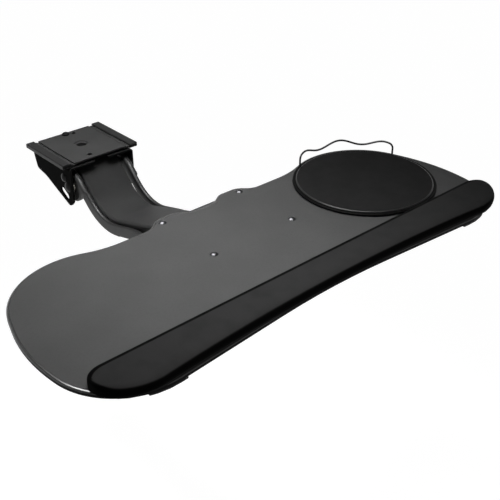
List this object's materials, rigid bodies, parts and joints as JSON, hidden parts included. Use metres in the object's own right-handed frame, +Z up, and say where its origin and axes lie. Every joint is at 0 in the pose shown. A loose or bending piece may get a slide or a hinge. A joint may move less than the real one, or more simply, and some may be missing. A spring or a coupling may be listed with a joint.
{
  "type": "keyboard tray",
  "caption": "Under-desk keyboard tray with a palm rest and a round mouse platform on a swan-neck arm that slides, swivels, lifts and tilts.",
  "frame": {"origin": "swivel axis at the top face of the glide plate", "axes": "+X to the user's right, +Y to the rear along the track, +Z up"},
  "size_m": [0.6702, 0.6159, 0.1186],
  "materials": {
    "black_coated_steel": "satin powder coat",
    "zinc_steel": "zinc plated",
    "black_oxide_steel": "black oxide",
    "spring_steel": "oiled spring wire",
    "black_wire": "satin coat",
    "natural_nylon": "matte",
    "grey_nylon": "matte",
    "bronze": "sintered",
    "tray_laminate": "fine satin texture",
    "black_plastic": "fine texture",
    "grey_plastic": "matte",
    "palm_skin": "soft grained vinyl over foam",
    "pad_cloth": "fine cloth",
    "black_rubber": "matte",
    "brass": "turned"
  },
  "bodies": {
    "carriage": {"glide_plate": "black_coated_steel", "glide_strip_left": "grey_nylon", "glide_strip_right": "grey_nylon", "rear_bumper": "black_rubber", "swivel_stud": "black_oxide_steel", "swivel_washer": "natural_nylon", "swivel_spring_washer": "zinc_steel", "swivel_nut": "zinc_steel"},
    "swivel": {"swivel_bracket": "black_coated_steel", "cover_shaft": "black_oxide_steel", "rail_stub_pins": "black_oxide_steel", "rail_washers": "natural_nylon"},
    "upper_arm": {"arm_cover": "black_coated_steel", "cover_tube": "black_oxide_steel", "cover_bushes": "natural_nylon", "lift_spring_left": "spring_steel", "lift_spring_right": "spring_steel"},
    "lower_arm": {"arm_rail_left": "black_coated_steel", "arm_rail_right": "black_coated_steel", "rail_bushes": "bronze", "rail_tie": "black_coated_steel"},
    "head": {"tilt_head": "black_coated_steel", "head_pin_upper": "zinc_steel", "head_pin_lower": "zinc_steel", "head_spacers": "zinc_steel", "tilt_bolt": "zinc_steel", "tilt_washers": "natural_nylon"},
    "knob": {"tilt_knob": "black_plastic", "knob_insert": "brass"},
    "tray": {"tray_bracket": "black_coated_steel", "tray_panel": "tray_laminate", "tray_screws": "black_oxide_steel", "tray_nuts": "zinc_steel", "palm_rest": "palm_skin", "palm_base": "black_plastic", "palm_clip_left": "grey_plastic", "palm_clip_right": "grey_plastic", "clip_screws": "zinc_steel", "glide_ring": "natural_nylon"},
    "mouse_platform": {"mouse_disc": "black_plastic", "mouse_pad": "pad_cloth", "mouse_fence": "black_wire", "pivot_bolt": "zinc_steel", "pivot_washer": "zinc_steel", "pivot_nut": "zinc_steel"}
  },
  "joints": [
    {"name": "swivel_turn", "type": "hinge", "parent": "carriage", "child": "swivel", "pos_m": [0, 0, 0], "axis": [0, 0, 1], "continuous": true},
    {"name": "arm_lift", "type": "hinge", "parent": "swivel", "child": "upper_arm", "pos_m": [0, -0.035, -0.028], "axis": [-1, 0, 0], "range_deg": [-28, 10], "deforming": ["lift_spring_left", "lift_spring_right"]},
    {"name": "rail_swing", "type": "hinge", "parent": "swivel", "child": "lower_arm", "pos_m": [0, -0.0435, -0.041], "axis": [-1, 0, 0], "range_deg": [-28, 10]},
    {"name": "head_level", "type": "hinge", "parent": "upper_arm", "child": "head", "pos_m": [0, -0.30029, -0.0472], "axis": [-1, 0, 0], "range_deg": [-10, 28]},
    {"name": "tray_tilt", "type": "hinge", "parent": "head", "child": "tray", "pos_m": [0, -0.34529, -0.0177], "axis": [-1, 0, 0], "range_deg": [-15, 10]},
    {"name": "knob_turn", "type": "hinge", "parent": "head", "child": "knob", "pos_m": [0, -0.34529, -0.0177], "axis": [1, 0, 0], "range_deg": [0, 270]},
    {"name": "mouse_turn", "type": "hinge", "parent": "tray", "child": "mouse_platform", "pos_m": [0.214, -0.39529, 0.01455], "axis": [0, 0, 1], "continuous": true}
  ],
  "couplings": [
    {"joint": "rail_swing", "follows": "arm_lift", "ratio": 1},
    {"joint": "head_level", "follows": "arm_lift", "ratio": -1}
  ]
}
